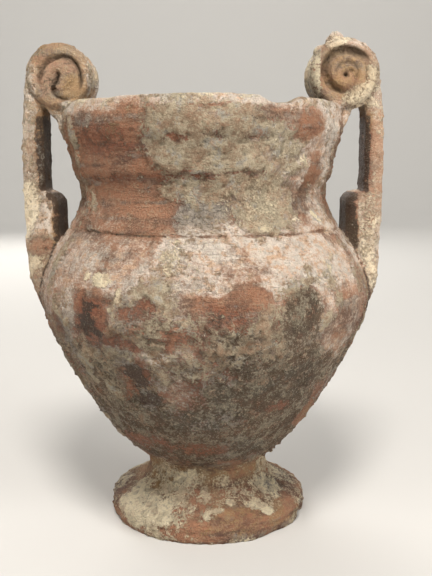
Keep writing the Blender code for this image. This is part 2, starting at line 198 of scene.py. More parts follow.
# The finishes that bare places and cuts are mostly free of.
COVERING = ("crust", "bloom", "grey", "olive", "cream")

# Raised lines of lime and soil: half width, how proud, finish, and the azimuths and heights they follow.
RIDGES = [
    (2.6, 0.9, "crust", [(-66, 161), (-59, 154.7), (-60.5, 146), (-63, 133), (-59, 125), (-60, 118.5)]),
    (1.8, 0.6, "crust", [(-57, 131.5), (-52.7, 126), (-52, 119)]),
    (3.2, 1.0, "crust", [(-59, 113.5), (-63, 107.5), (-63.3, 98.4), (-62.5, 94)]),
    (3.4, 0.7, "crust", [(-54.6, 92.4), (-50.6, 85.7), (-48, 78.5), (-48, 70.6), (-46, 64.8)]),
    (2.8, 0.7, "crust", [(-43.5, 73.6), (-41, 66), (-36, 59.6)]),
    (3.4, 0.6, "crust", [(26.5, 99), (32.4, 100), (37.5, 103), (48.3, 98.5)]),
    (2.4, 0.5, "crust", [(48.3, 98.5), (49.5, 93), (41, 86)]),
    (2.6, 0.4, "grey", [(20, 63), (25, 66), (36.4, 70.7), (49, 76.4)]),
    (2.4, 0.3, "grey", [(8.6, 68.5), (7.2, 62.8), (5, 56)]),
    (2.2, 0.6, "crust", [(66, 112), (62, 104), (64, 96)]),
    (2.0, 0.5, "crust", [(-63, 66), (-60, 56), (-58, 46), (-56, 38)]),
    (1.8, 0.5, "grey", [(66, 70), (64, 60), (60, 52)]),
]

# Cut lines and cracks: half width, depth, how dark the line is painted as shade, and the azimuths and heights
# they follow.
CUTS = [
    (0.5, 0.42, 0.50, [(-58, 117.4), (-44, 117.2), (-28.5, 116.7), (-14, 116.6)]),
    (0.5, 0.34, 0.44, [(-14, 116.6), (-6.4, 116.5), (14.2, 116.6), (41.4, 116.7), (62, 116.8)]),
    (0.6, 0.35, 0.10, [(-1, 142), (2.2, 143.8), (8.6, 144.8)]),
    (0.5, 0.25, 0.10, [(-3, 133), (4, 131.6), (9, 133.4)]),
    (0.5, 0.25, 0.10, [(14, 149), (19, 146.5), (25, 147.4)]),
]

# Volutes: side, centre's distance from the axis and height, radius, and the grooves between the rolls of
# clay. A groove is a course of (outwards, up, half width, depth) from the centre.
VOLUTE_FACE = 9.0
VOLUTES = [
    (-1, 55.1, 173.9, 12.8, [
        [(7.2, -3.0, 1.3, 0.6), (6.9, -0.4, 1.3, 1.1), (6.1, 2.4, 1.3, 1.3), (4.2, 5.0, 1.2, 1.4),
         (0.9, 6.9, 1.2, 1.4), (-2.0, 7.3, 1.2, 1.5), (-4.6, 6.6, 1.2, 1.6), (-6.9, 4.4, 1.2, 1.8),
         (-8.3, 1.2, 1.2, 1.9), (-8.7, -2.0, 1.2, 1.8), (-8.2, -5.4, 1.1, 0.3)],
        [(0.0, 0.9, 1.3, 2.2), (0.8, -1.6, 1.5, 2.6), (1.8, -3.2, 1.2, 1.8), (2.1, -5.4, 1.1, 1.7),
         (0.9, -7.4, 1.1, 1.6), (-1.3, -8.4, 1.1, 1.3), (-3.4, -8.5, 1.1, 0.8), (-5.6, -7.6, 1.0, 0.3)],
    ]),
    (1, 53.5, 175.1, 13.5, [
        [(9.9, 4.2, 1.6, 0.4), (6.4, 6.6, 2.0, 1.6), (3.2, 8.2, 2.1, 1.9), (0.0, 8.9, 2.1, 1.9),
         (-4.2, 8.0, 2.0, 1.6), (-6.9, 5.4, 2.0, 1.6), (-8.1, 2.6, 2.0, 1.7), (-7.9, 0.0, 2.0, 1.9),
         (-6.9, -2.8, 1.9, 1.7), (-4.8, -5.2, 1.8, 1.4), (-1.5, -6.6, 1.7, 1.0), (1.8, -6.6, 1.5, 0.3)],
        [(0.0, -0.5, 3.0, 0.7), (0.1, -0.5, 3.0, 0.7)],
        [(0.0, -0.5, 1.3, 3.0), (0.1, -0.5, 1.3, 3.0)],
        [(-4.0, -1.4, 1.1, 0.4), (-3.9, 1.2, 1.1, 0.7), (-2.3, 3.3, 1.1, 0.8), (0.4, 4.2, 1.1, 0.9),
         (3.2, 3.4, 1.1, 0.8), (4.4, 1.0, 1.1, 0.6), (4.2, -1.2, 1.1, 0.3)],
    ]),
]

# Patches on the handles: side, distance from the axis, height, half width, half height, shares covered.
HANDLE_PATCHES = [
    (-1, 67, 160, 5, 12, {"crust": 0.45}), (-1, 67, 138, 5, 14, {"bloom": 0.5}),
    (-1, 67, 138, 6, 16, {"crust": 0.4}), (-1, 64, 150, 3, 14, {"red": 0.5}),
    (-1, 66, 145, 4, 14, {"grey": 0.35}), (-1, 68, 125, 6, 9, {"cream": 0.75}),
    (-1, 59, 125, 5, 7, {"bloom": 0.75}),
    (-1, 64, 109, 6, 4.5,
     {"red": 0.45, "black": 0.35, "cream": 0.05, "ochre": 0.1, "bloom": 0.15, "crust": 0.25}),
    (-1, 68, 101, 5, 4, {"cream": 0.75}),
    (-1, 66, 90, 8, 8, {"red": 0.5, "cream": 0.08, "bloom": 0.25}),
    (-1, 55, 174, 10, 10, {"ochre": 0.28}),
    (-1, 55, 174, 12, 12, {"olive": 0.28, "red": 0.15, "bloom": 0.14, "grey": 0.2}),
    (-1, 63, 180, 5, 6, {"crust": 0.5}), (-1, 55, 174, 11, 10, {"cream": 0.02, "crust": 0.18}),
    (-1, 67, 172, 4, 10, {"bloom": 0.7}), (-1, 66, 172, 3, 8, {"crust": 0.5}),
    (-1, 47, 168, 5, 5, {"ochre": 0.9}), (1, 69, 155, 3, 14, {"cream": 0.4}),
    (1, 64, 155, 3, 16, {"red": 0.45}), (1, 66, 134, 5, 12, {"cream": 0.3}),
    (1, 66, 138, 6, 20, {"bloom": 0.35}), (1, 62, 116, 6, 12, {"cream": 0.55, "crust": 0.35}),
    (1, 64, 100, 7, 8, {"cream": 0.65}), (1, 67, 105, 5, 12, {"bloom": 0.6}),
    (1, 71.5, 134, 2, 34, {"red": 0.4, "cream": 0.1}), (1, 60, 165, 7, 4, {"cream": 0.62}),
    (1, 52, 175, 11, 10, {"ochre": 0.5, "red": 0.15}),
    (1, 52, 177, 12, 10, {"cream": 0.0, "crust": 0.06, "bloom": 0.1, "grey": 0.05, "olive": 0.15}),
    (1, 50, 188, 5, 4, {"cream": 0.95}), (1, 64, 172, 2.5, 6, {"cream": 0.75}),
    (1, 58, 168, 4, 3, {"cream": 0.62}),
]
# The order sets each finish's seeds.
FINISHES = ("crust", "bloom", "grey", "olive", "red", "black", "ochre", "cream")

# How far the relief stands out of the clay or sinks into it, and how far apart it repeats.
CRUST_RELIEF = 0.95
LIME_RELIEF = 0.45
SOIL_RELIEF = 0.42
BLOOM_RELIEF = 0.15
DENTS = 0.30
HANDLE_DENTS = 0.45
WHEEL_LINES = 0.045
WHEEL_LINE_SPACING = 2.3
THROWING_RIDGES = 0.28
THROWING_SPACING = 5.2
PORE_DEPTH = 0.55
PORE_SPACING = 3.6
LIP_WAVE = 0.7


# ------------------------------------------------------------------ uneven fields over the surface
def read_curve(knots, at):
    return np.interp(at, [knot[0] for knot in knots], [knot[1] for knot in knots])


CHANCE = np.random.default_rng(20).random(65536).astype(np.float32)
STRIDES = (73856093, 19349663, 83492791)
SEED_STRIDE = 7919


def chance(mixed):
    """A fixed pseudo-random number from 0 to 1 for each whole number."""
    return CHANCE[(mixed ^ mixed >> 15) & (len(CHANCE) - 1)]


def scatter(cell, seed):
    """A fixed pseudo-random number from 0 to 1 for each lattice cell, given as three whole-number arrays."""
    return chance(cell[0] * STRIDES[0] ^ cell[1] * STRIDES[1] ^ cell[2] * STRIDES[2] ^ seed * SEED_STRIDE)


def lumps(points, size, seed):
    """A smooth uneven field from 0 to 1, with lumps about that size across."""
    scaled = (points / size).T
    corner = np.floor(scaled)
    share = (scaled - corner).astype(np.float32)
    share = share * share * (3.0 - 2.0 * share)
    corner = corner.astype(np.int64)
    sides = [(corner[axis] * STRIDES[axis], (corner[axis] + 1) * STRIDES[axis]) for axis in range(3)]
    weights = [(1.0 - share[axis], share[axis]) for axis in range(3)]
    total = np.zeros(len(points), np.float32)
    for i in range(2):
        for j in range(2):
            partial = sides[0][i] ^ sides[1][j] ^ seed * SEED_STRIDE
            weight = weights[0][i] * weights[1][j]
            for k in range(2):
                total += weight * weights[2][k] * chance(partial ^ sides[2][k])
    return total


TURN = np.array([[0.36, 0.48, -0.80], [-0.80, 0.60, 0.0], [0.48, 0.64, 0.60]])


def uneven(points, size, seed, octaves=4):
    """Lumps on lumps, from about 0 to 1."""
    total = np.zeros(len(points))
    strength = 1.0
    weights = 0.0
    at = points
    for octave in range(octaves):
        at = at @ TURN
        total += strength * (lumps(at, size, seed + octave) - 0.5)
        weights += strength
        strength *= 0.55
        size *= 0.5
    return np.clip(0.5 + 1.9 * total / weights, 0.0, 1.0)


def pores(points, size, seed):
    """How far each point is from the nearest of many scattered pores, in pore spacings."""
    scaled = (points / size).T
    corner = np.floor(scaled).astype(np.int64)
    nearest = np.full(len(points), 9.0)
    for dx in (-1, 0, 1):
        for dy in (-1, 0, 1):
            for dz in (-1, 0, 1):
                cell = (corner[0] + dx, corner[1] + dy, corner[2] + dz)
                gap = sum((cell[axis] + scatter(cell, seed + axis) - scaled[axis]) ** 2 for axis in range(3))
                nearest = np.minimum(nearest, gap)
    return np.sqrt(nearest)


def ease(low, high, value):
    share = np.clip((value - low) / (high - low), 0.0, 1.0)
    return share * share * (3.0 - 2.0 * share)


# ------------------------------------------------------------------ where a point lies on the vase
class Places:
    """Where each point lies: azimuth, height, distance from the axis, and which part of the vase."""

    def __init__(self, points, normals=None):
        self.points = points
        self.facing = np.zeros(len(points)) if normals is None else normals[:, 0] * np.sign(points[:, 0])
        self.height = points[:, 2]
        across = points[:, 0] - read_curve(AXIS_DRIFT, self.height)
        self.radius = np.hypot(across, points[:, 1])
        self.azimuth = np.degrees(np.arctan2(across, -points[:, 1]))
        proud = self.radius - read_curve(OUTER_WALL, self.height)
        near_handle = (np.abs(points[:, 1]) < HANDLE_HALF_DEPTH) & (np.abs(points[:, 0]) > HANDLE_START)
        self.handle = near_handle * ease(0.7, 2.0, np.where(self.height > LIP_TOP + 0.5, 3.0, proud))
        self.inside = ease(-1.8, -3.2, proud) * (self.height > 22.0) * (self.height < LIP_TOP + 1.0)
        self.under = ease(-1.5, -3.0, proud) * ease(FLOOR_BOTTOM, FLOOR_BOTTOM - 3.0, self.height)
        self.body = (1.0 - self.handle) * (1.0 - self.inside) * (1.0 - self.under)
        self.front = ease(PATCHES_FADE[1], PATCHES_FADE[0], np.abs(self.azimuth))
        broad = [6.0 * (uneven(points, 9.0, 40 + axis, 3) - 0.5) for axis in range(2)]
        fray = [2.0 * (uneven(points, 2.2, 50 + axis, 3) - 0.5) for axis in range(2)]
        self.sway = [broad[axis] + fray[axis] for axis in range(2)]

    def patch(self, azimuth, height, half_width, half_height, tilt):
        """1 well inside a frayed oval patch, 0 outside it."""
        ease_off = min(1.0, min(half_width, half_height) / 3.0)
        turn = (self.azimuth - azimuth + 180.0) % 360.0 - 180.0
        along = np.radians(turn) * self.radius + self.sway[0] * ease_off
        up = self.height - height + self.sway[1] * ease_off
        angle = math.radians(tilt)
        across = (along * math.cos(angle) + up * math.sin(angle)) / half_width
        rise = (up * math.cos(angle) - along * math.sin(angle)) / half_height
        return ease(1.55, 0.45, np.hypot(across, rise))

    def line(self, course, wander=0.45):
        """Distance from a line given by azimuths and heights, which wanders by that share."""
        nearest = np.full(len(self.radius), 99.0)
        for (start, low), (end, high) in zip(course, course[1:]):
            ax = np.radians(self.azimuth - start) * self.radius + wander * self.sway[0]
            ay = self.height - low + wander * self.sway[1]
            bx = np.radians(end - start) * self.radius
            by = high - low
            share = np.clip((ax * bx + ay * by) / (bx * bx + by * by + 1e-9), 0.0, 1.0)
            nearest = np.minimum(nearest, np.hypot(ax - share * bx, ay - share * by))
        return nearest

    def on_handle(self, side, reach, height, half_width, half_height):
        """1 well inside a frayed oval patch on one handle's front, 0 outside it and at the back."""
        across = (self.points[:, 0] * side - reach + 0.5 * self.sway[0]) / half_width
        rise = (self.height - height + 0.5 * self.sway[1]) / half_height
        return ease(1.5, 0.5, np.hypot(across, rise)) * ease(5.0, -5.0, self.points[:, 1])


def finishes(place):
    """What share of the surface round each point each finish covers, from 0 to 1."""
    points = place.points
    bare = np.zeros(len(points))
    for *oval, share in BARE:
        bare = np.maximum(bare, share * place.patch(*oval) * place.front)
    # Painted shade: the cut lines and cracks get a dark share from their darkness column.
    groove = np.zeros(len(points))
    for half_width, depth, dark, course in CUTS:
        groove = np.maximum(groove, dark * ease(1.9, 0.4, place.line(course, 0.10) / half_width))
    daubs = [(place.on_handle(*oval), shares) for *oval, shares in HANDLE_PATCHES]
    laid = {}
    for index, name in enumerate(FINISHES):
        seed = 100 + 10 * index
        swing = 0.15 + 1.7 * uneven(points, 24.0, seed, 4)
        mottle = 0.8 + 0.4 * uneven(points, 5.0, seed + 5, 2)
        field = read_curve(GENERAL[name], place.height) * swing
        for *oval, share in PATCHES[name]:
            patch = place.patch(*oval) * place.front
            local = share if share in (0.0, 1.0) else share * mottle
            field = field + (local - field) * patch
        if name in COVERING:
            field = field * (1.0 - bare) * (1.0 - 0.9 * groove)
        for half_width, proud, finish, course in RIDGES:
            if finish == name:
                ridge = ease(1.5, 0.5, place.line(course) / half_width)
                field = np.maximum(field, ridge * (0.22 + 0.75 * uneven(points, 4.4, 470 + index, 3)))
        on_handle = ON_HANDLES[name] * swing
        for daub, shares in daubs:
            if name in shares:
                on_handle = on_handle + (shares[name] - on_handle) * daub
        laid[name] = field * place.body + on_handle * place.handle
    cover_sheltered_parts(place, laid)
    # Painted shade: the cut lines, the cracks and the deepest grooves of the volutes are darkened with the
    # black finish.
    laid["black"] = np.maximum(laid["black"], groove * place.body)
    laid["black"] = np.maximum(laid["black"], 0.72 * ease(1.4, 2.4, rolled_grooves(place)))
    # Painted shade: the crevice where the handle roots meet the shoulder below the neck base is painted black
    # and kept clear of the pale finishes.
    crevice_shade = ease(0.10, 0.45, place.handle) * ease(1.0, 0.7, place.handle)
    crevice_shade = crevice_shade * ease(NECK_BASE + 2.0, NECK_BASE - 3.0, place.height)
    laid["black"] = np.maximum(laid["black"], 0.85 * crevice_shade)
    for name in COVERING:
        laid[name] *= 1.0 - 0.8 * crevice_shade
    return {name: np.clip(values, 0.0, 1.0) for name, values in laid.items()}


def cover_sheltered_parts(place, laid):
    """Changes the shares behind the straps, inside the vase and under the foot."""
    below_lip = ease(LIP_TOP - 1.0, LIP_TOP - 6.0, place.height)
    # Painted shade, with some dirt: faces of the straps turned towards the vase get the dark shares.
    inward = place.handle * ease(-0.10, -0.60, place.facing) * below_lip
    for name, share in DIRT_AND_SHADE_UNDER_STRAPS.items():
        laid[name] += (share - laid[name]) * inward
    laid["grey"] += place.inside * (0.15 + 0.6 * uneven(place.points, 14.0, 300, 4))
    laid["crust"] += 0.9 * place.inside * ease(0.45, 0.75, uneven(place.points, 18.0, 310, 4))
    laid["olive"] += place.inside * ease(70.0, 30.0, place.height)
    laid["red"] += 0.25 * place.inside
    laid["ochre"] += 0.4 * place.under


def rolled_grooves(place):
    """How deep the grooves of the rolled clay run at each point of the volutes' flat faces."""
    deepest = np.zeros(len(place.height))
    for side, reach, height, radius, grooves in VOLUTES:
        out = place.points[:, 0] * side - reach
        up = place.height - height
        away = np.hypot(out, up)
        face = (np.abs(place.points[:, 1]) > VOLUTE_FACE) & (away < radius)
        deep = 0.7 * ease(0.76, 1.0, away / radius)
        for groove in grooves:
            for (ax, ay, wide, deep_here), (bx, by, next_wide, next_deep) in zip(groove, groove[1:]):
                share = ((out - ax) * (bx - ax) + (up - ay) * (by - ay)) / ((bx - ax) ** 2 + (by - ay) ** 2)
                share = np.clip(share, 0.0, 1.0)
                gap = np.hypot(out - ax - share * (bx - ax), up - ay - share * (by - ay))
                gap = gap / (wide + (next_wide - wide) * share)
                crease = (1.0 - np.clip(gap, 0.0, 1.0)) ** 1.2
                rounding = 0.42 * (1.0 - np.clip(gap / 3.0, 0.0, 1.0)) ** 2
                deep = np.maximum(deep, (crease + rounding) * (deep_here + (next_deep - deep_here) * share))
        deepest = np.maximum(deepest, face * deep)
    return deepest


# ------------------------------------------------------------------ the shape
def move(mesh, points):
    mesh.vertices.foreach_set("co", (points * MM).astype(np.float32).ravel())
    mesh.update()


def read_points(mesh):
    points = np.empty(len(mesh.vertices) * 3, np.float32)
    mesh.vertices.foreach_get("co", points)
    return points.reshape(-1, 3).astype(float) / MM


def read_normals(mesh):
    normals = np.empty(len(mesh.vertices) * 3, np.float32)
    mesh.vertex_normals.foreach_get("vector", normals)
    return normals.reshape(-1, 3).astype(float)


def settle(piece):
    """Makes the piece's modifiers part of its mesh."""
    graph = bpy.context.evaluated_depsgraph_get()
    mesh = bpy.data.meshes.new_from_object(piece.evaluated_get(graph))
    piece.modifiers.clear()
    old = piece.data
    piece.data = mesh
    bpy.data.meshes.remove(old)


def clay_copy(cad):
    """The thrown and assembled vase in one skin of small even faces."""
    bm = bmesh.new()
    bm.from_mesh(cad.data)
    bmesh.ops.remove_doubles(bm, verts=bm.verts, dist=0.01 * MM)
    mesh = bpy.data.meshes.new("terracotta_vase")
    bm.to_mesh(mesh)
    bm.free()
    piece = bpy.data.objects.new("terracotta_vase", mesh)
    bpy.context.scene.collection.objects.link(piece)
    skin = piece.modifiers.new("skin", "REMESH")
    skin.mode = "VOXEL"
    skin.voxel_size = VOXEL * MM
    settle(piece)
    return piece


def make_round(piece):
    """Takes the lathe's flats back to true circles."""
    points = read_points(piece.data)
    centre = read_curve(AXIS_DRIFT, points[:, 2])
    across = points[:, 0] - centre
    flat = 2.0 * math.pi / LATHE_FACETS
    angle = np.arctan2(points[:, 1], across)
    from_middle = angle - (np.floor(angle / flat) + 0.5) * flat
    grow = np.cos(from_middle) / math.cos(flat / 2.0)
    grow = np.where(points[:, 2] > LIP_TOP + 1.5, 1.0, grow)
    points[:, 0] = centre + across * grow
    points[:, 1] *= grow
    move(piece.data, points)


def weigh(piece, name, weights):
    """A named vertex group with these weights."""
    group = piece.vertex_groups.new(name=name)
    for index in np.nonzero(weights > 0.05)[0]:
        group.add([int(index)], float(weights[index]), "REPLACE")


def smooth(piece, name, iterations, group=""):
    """Adds a smoothing modifier, held to a vertex group if one is named."""
    smoothing = piece.modifiers.new(name, "SMOOTH")
    smoothing.factor = 0.5
    smoothing.iterations = iterations
    smoothing.vertex_group = group


def soften(piece):
    """Rounds the straps, wipes everything lightly, and wipes the turned profile smooth."""
    place = Places(read_points(piece.data))
    lip = ease(3.5, 7.0, LIP_TOP - place.height)
    foot = ease(9.0, 14.0, place.height)
    neck_line = np.abs(place.height - NECK_BASE) < 3.0
    weigh(piece, "thrown_wall", (1.0 - place.handle) * lip * foot * (1.0 - neck_line))
    pulled = ease(0.4, 0.9, place.handle) * (1.0 - 0.65 * ease(LIP_TOP - 6.0, LIP_TOP + 2.0, place.height))
    weigh(piece, "straps", pulled)
    smooth(piece, "rounded_straps", 16, "straps")
    smooth(piece, "wiped", 3)
    smooth(piece, "turned", 40, "thrown_wall")
    settle(piece)
    piece.vertex_groups.clear()


def weather(piece):
    """Raises crust, lime and soil, sinks pits, cracks and grooves, and leaves the marks of the wheel."""
    points = read_points(piece.data)
    normals = read_normals(piece.data)
    place = Places(points, normals)
    laid = finishes(place)
    fine = uneven(points, 2.4, 400, 3)
    rise = DENTS * (uneven(points, 16.0, 410, 3) - 0.5)
    rise += (0.12 + 0.16 * place.body * ease(104.0, 92.0, place.height)) * (uneven(points, 3.2, 420, 3) - 0.5)
    thick = ease(-0.12, 0.12, laid["crust"] + fine - 1.0)
    rise += thick * (0.10 + CRUST_RELIEF * uneven(points, 4.2, 430, 5)) * (1.0 - 0.4 * place.handle)
    lime = ease(-0.12, 0.12, laid["cream"] + uneven(points, 2.6, 435, 3) - 1.0)
    rise += lime * (0.12 + LIME_RELIEF * uneven(points, 2.6, 440, 3)) * (1.0 - 0.4 * place.handle)
    rise += SOIL_RELIEF * laid["olive"] * uneven(points, 4.6, 450, 4)
    rise += BLOOM_RELIEF * laid["bloom"] * fine
    for half_width, proud, finish, course in RIDGES:
        along = 0.35 + 0.9 * uneven(points, 4.0, 460, 2)
        rise += proud * along * ease(1.5, 0.2, place.line(course) / half_width) * place.body
    for half_width, depth, dark, course in CUTS:
        rise -= depth * ease(1.5, 0.2, place.line(course, 0.08) / half_width) * place.body
    rings = np.sin(place.height * 2.0 * math.pi / WHEEL_LINE_SPACING + 3.0 * uneven(points, 22.0, 470, 2))
    above_cut = ease(NECK_BASE - 1.0, NECK_BASE + 3.0, place.height)
    neck = above_cut * ease(LIP_TOP - 4.0, LIP_TOP - 8.0, place.height)
    rise += WHEEL_LINES * rings * neck * place.body * (1.0 - thick)
    throwing = np.sin(place.height * 2.0 * math.pi / THROWING_SPACING + 0.035 * place.azimuth)
    rise += THROWING_RIDGES * throwing * place.inside
    holes = np.nonzero(thick > 0.3)[0]
    rise[holes] -= PORE_DEPTH * thick[holes] * ease(0.36, 0.10, pores(points[holes], PORE_SPACING, 480))
    dents = HANDLE_DENTS - 0.25 * ease(LIP_TOP - 6.0, LIP_TOP, place.height)
    rise += place.handle * dents * (uneven(points, 5.0, 490, 4) - 0.5)
    rise -= rolled_grooves(place)
    calm = 1.0 - 0.75 * ease(LIP_TOP - 4.5, LIP_TOP - 1.5, place.height) * (1.0 - place.handle)
    points += normals * (rise * calm)[:, None]
    top = ease(LIP_TOP - 4.0, LIP_TOP, place.height) * (1.0 - place.handle)
    round_lip = np.outer(place.azimuth, (0.9, 0.0, 0.0))
    points[:, 2] += LIP_WAVE * top * (uneven(round_lip, 11.0, 500, 3) - 0.5)
    points[:, 2] = np.maximum(points[:, 2], 0.0)
    move(piece.data, points)


def thin_out(piece):
    """Keeps fewer faces, most of them where the surface is roughest."""
    piece.data.calc_loop_triangles()
    count = len(piece.data.loop_triangles)
    fewer = piece.modifiers.new("fewer", "DECIMATE")
    fewer.ratio = min(1.0, TRIANGLES / count)
    settle(piece)


def hollows(piece, points, normals):
    """How far each point lies in a hollow, from 0 to 1, from its neighbours' heights."""
    mesh = piece.data
    ends = np.empty(len(mesh.edges) * 2, np.int32)
    mesh.edges.foreach_get("vertices", ends)
    ends = ends.reshape(-1, 2)
    total = np.zeros_like(points)
    count = np.zeros(len(points))
    for near, far in ((0, 1), (1, 0)):
        np.add.at(total, ends[:, near], points[ends[:, far]])
        np.add.at(count, ends[:, near], 1.0)
    middle = total / np.maximum(count, 1.0)[:, None]
    return np.clip(0.5 + 3.0 * ((middle - points) * normals).sum(axis=1), 0.0, 1.0)


def store(mesh, name, values):
    layer = mesh.attributes.new(name, "FLOAT", "POINT")
    layer.data.foreach_set("value", values.astype(np.float32))


def mark_finishes(piece):
    """Keeps the finishes, the hollows and the volutes' grooves as attributes that the material reads; it
    darkens the hollows and grooves as painted shade.
    """
    points = read_points(piece.data)
    normals = read_normals(piece.data)
    place = Places(points, normals)
    for name, values in finishes(place).items():
        store(piece.data, name, values)
    # The hollow and groove attributes carry the painted shade of the surface's hollows and the volutes'
    # grooves.
    store(piece.data, "hollow", hollows(piece, points, normals))
    store(piece.data, "handle", place.handle)
    store(piece.data, "groove", ease(0.05, 1.5, rolled_grooves(place)))


# ------------------------------------------------------------------ fired clay, lime and soil
class Field:
    """A value or colour that varies over the surface, held as one socket of a material."""

    tree = None

    def __init__(self, socket):
        self.socket = socket

    @classmethod
    def node(cls, kind, settings=None, inputs=None, output=0):
        made = cls.tree.nodes.new(kind)
        for name, value in (settings or {}).items():
            setattr(made, name, value)
        for name, value in (inputs or {}).items():
            cls.fill(made.inputs[name], value)
        return cls(made.outputs[output])

    @classmethod
    def fill(cls, socket, value):
        if isinstance(value, cls):
            cls.tree.links.new(value.socket, socket)
        elif isinstance(value, tuple) and len(value) == 3 and socket.type == "RGBA":
            socket.default_value = (*value, 1.0)
        else:
            socket.default_value = value

    @classmethod
    def maths(cls, operation, first, second):
        return cls.node("ShaderNodeMath", {"operation": operation}, {0: first, 1: second})

    def __add__(self, other):
        return self.maths("ADD", self, other)

    def __radd__(self, other):
        return self.maths("ADD", other, self)

    def __sub__(self, other):
        return self.maths("SUBTRACT", self, other)

    def __rsub__(self, other):
        return self.maths("SUBTRACT", other, self)

    def __mul__(self, other):
        return self.maths("MULTIPLY", self, other)

    def __rmul__(self, other):
        return self.maths("MULTIPLY", other, self)


def blend_to(below, above, share):
    inputs = {0: share, 6: below, 7: above}
    return Field.node("ShaderNodeMix", {"data_type": "RGBA"}, inputs, 2)


def step_between(value, low, high):
    settings = {"interpolation_type": "SMOOTHSTEP"}
    return Field.node("ShaderNodeMapRange", settings, {"Value": value, "From Min": low, "From Max": high})


def grain(where, size, detail, roughness, low, high):
    """Noise from 0 to 1 with grains of about that many millimetres, sharper as low and high come together."""
    inputs = {"Vector": where, "Scale": 1.0 / MM / size, "Detail": detail, "Roughness": roughness}
    return step_between(Field.node("ShaderNodeTexNoise", None, inputs), low, high)


def cell_edges(where, size):
    """How far each place is from the edge of its cell, in cells of about that many millimetres."""
    inputs = {"Vector": where, "Scale": 1.0 / MM / size}
    return Field.node("ShaderNodeTexVoronoi", {"feature": "DISTANCE_TO_EDGE"}, inputs)


def laid_on(name):
    return Field.node("ShaderNodeAttribute", {"attribute_name": name}, None, 2)


def mapped(where, **settings):
    """The same places shifted, turned or scaled, as the Mapping node names them."""
    return Field.node("ShaderNodeMapping", None, {"Vector": where, **settings})


FIRED_ORANGE = (0.42, 0.200, 0.113)
FIRED_BROWN = (0.145, 0.077, 0.053)
FIRED_PALE = (0.47, 0.31, 0.20)
RED_SLIP = (0.27, 0.090, 0.045)
RED_SLIP_DARK = (0.065, 0.028, 0.020)
# Soot stains; the same black also paints shade in cuts, grooves, crevices and under the straps.
SOOT_AND_SHADE = (0.042, 0.029, 0.021)
GREY_FILM = (0.385, 0.355, 0.30)
GREY_FILM_DARK = (0.170, 0.163, 0.150)
OLIVE_SOIL = (0.092, 0.078, 0.054)
OLIVE_SOIL_PALE = (0.335, 0.295, 0.21)
OCHRE_STAIN = (0.40, 0.25, 0.10)
LIME_VEIL = (0.745, 0.670, 0.59)
LIME_VEIL_GREY = (0.60, 0.565, 0.505)
LIME_VEIL_PINK = (0.64, 0.43, 0.295)
CRUST_BEIGE = (0.585, 0.495, 0.35)
CRUST_GREY = (0.47, 0.445, 0.39)
CRUST_BROWN = (0.275, 0.165, 0.095)
# Painted shade in the crust's pits.
CRUST_PIT_SHADE = (0.075, 0.045, 0.028)
CREAM_LIME = (0.92, 0.80, 0.57)
# Dark dirt for the specks, also used as painted shade in the volutes' grooves and the surface's hollows.
DARK_DIRT_AND_SHADE = (0.11, 0.074, 0.047)
CLAY_SPECULAR = 0.32
GRAIN_DEPTH = 1.3


def covers(name, ragged, soft):
    """Where a finish lies: its share of the surface, broken up by a ragged field."""
    return step_between(laid_on(name) + ragged, 1.0 - soft, 1.0 + soft)


class Patterns:
    """The noises that break the finishes up, from 0 to 1. The "too" ones differ from their namesakes."""

    def __init__(self):
        where = Field.node("ShaderNodeTexCoord", None, None, 3)
        shifted = mapped(where, Location=(0.31, 0.17, 0.53))
        self.tiny = grain(where, 0.45, 2.0, 0.6, 0.30, 0.70)
        self.small = grain(where, 1.0, 3.0, 0.65, 0.30, 0.70)
        self.small_too = grain(shifted, 0.8, 3.0, 0.65, 0.30, 0.70)
        self.medium = grain(where, 3.4, 5.0, 0.68, 0.32, 0.68)
        self.medium_too = grain(shifted, 2.6, 5.0, 0.7, 0.32, 0.68)
        self.large = grain(shifted, 7.5, 5.0, 0.66, 0.33, 0.67)
        self.large_too = grain(where, 6.2, 5.0, 0.66, 0.33, 0.67)
        self.broad = grain(where, 15.0, 4.0, 0.6, 0.34, 0.66)
        self.turning = grain(mapped(where, Scale=(0.16, 0.16, 1.0)), 1.3, 4.0, 0.62, 0.33, 0.67)
        self.slow_turning = grain(mapped(where, Scale=(0.10, 0.10, 1.0)), 5.0, 3.0, 0.55, 0.35, 0.65)
        self.ragged = 0.30 * self.large + 0.36 * self.medium + 0.34 * self.small
        self.ragged_too = 0.32 * self.large_too + 0.34 * self.medium_too + 0.34 * self.small_too
        self.streaked = 0.34 * self.turning + 0.30 * self.large_too + 0.36 * self.medium_too
        slanting = mapped(where, Rotation=(0.0, 0.8, 0.0), Scale=(1.0, 1.0, 0.30))
        self.crazing = step_between(cell_edges(slanting, 1.5), 0.14, 0.02)


def fired_clay(seen):
    """The bare clay: orange and brown along the turning, with pale grit and a dull film on the handles."""
    tone = 0.40 * seen.slow_turning + 0.14 * seen.turning + 0.46 * seen.broad
    colour = blend_to(FIRED_ORANGE, FIRED_BROWN, step_between(tone, 0.32, 0.82))
    grit = step_between(0.5 * seen.small + 0.5 * seen.medium_too, 0.50, 0.75)
    colour = blend_to(colour, FIRED_PALE, 0.50 * grit)
    colour = blend_to(colour, FIRED_BROWN, 0.55 * step_between(seen.tiny, 0.72, 0.95))
    film = step_between(0.6 * seen.large_too + 0.4 * seen.slow_turning, 0.58, 0.85)
    colour = blend_to(colour, GREY_FILM, 0.50 * film)
    return blend_to(colour, OLIVE_SOIL_PALE, laid_on("handle") * (0.16 + 0.32 * seen.large))


